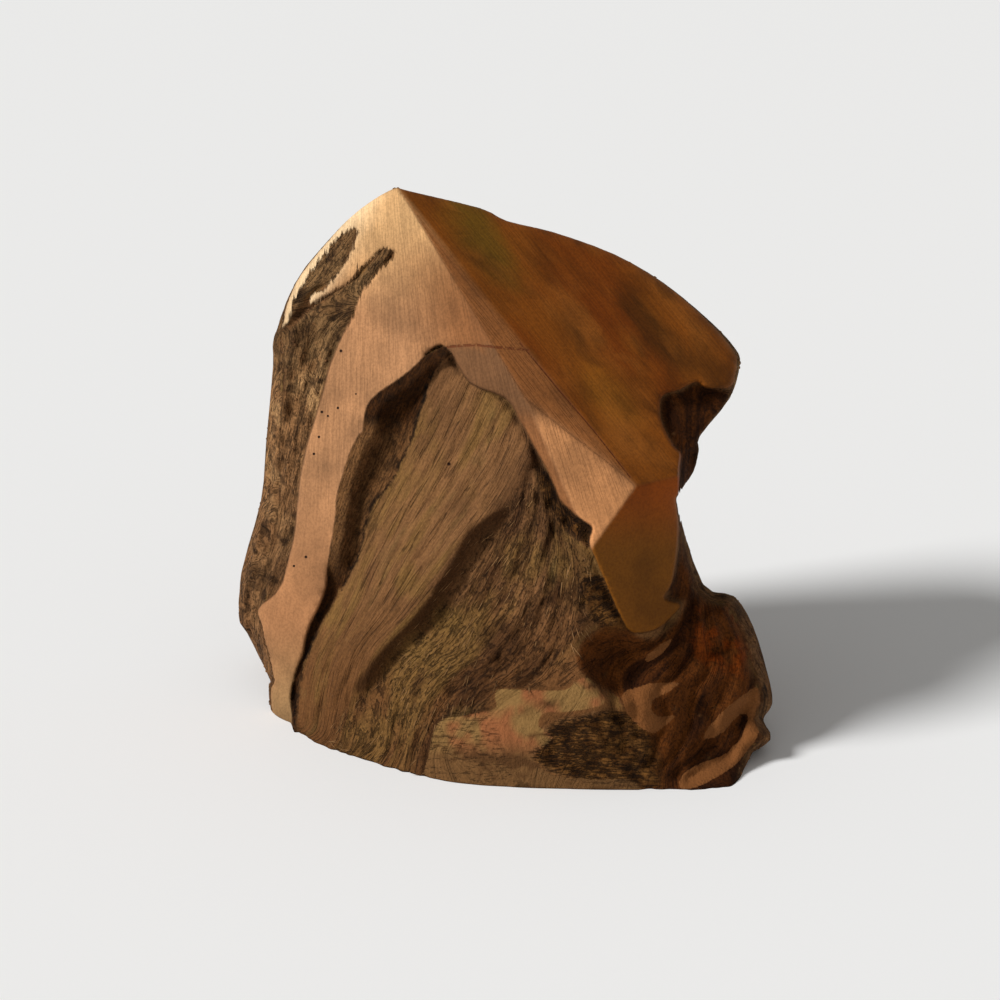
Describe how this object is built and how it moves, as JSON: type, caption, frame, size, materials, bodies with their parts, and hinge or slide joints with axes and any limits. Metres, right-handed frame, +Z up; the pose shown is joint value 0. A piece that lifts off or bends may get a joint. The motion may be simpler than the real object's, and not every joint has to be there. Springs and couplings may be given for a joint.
{
  "type": "heather root",
  "caption": "Burl of a heather root, sawn flat underneath to stand, with sanded saw cuts above and natural grain and bark between them. A display base or carving blank.",
  "frame": {"origin": "middle of the root's box, on the floor that its sawn base rests on", "axes": "+Z up, out of the sawn base; -Y towards the viewer, out of the front with the two large saw cuts; +X to the viewer's right"},
  "size_m": [0.1408, 0.1022, 0.1387],
  "materials": {
    "heather_wood": "dry sawn and weathered"
  },
  "bodies": {
    "root": {"heather_root": "heather_wood"}
  },
  "joints": []
}
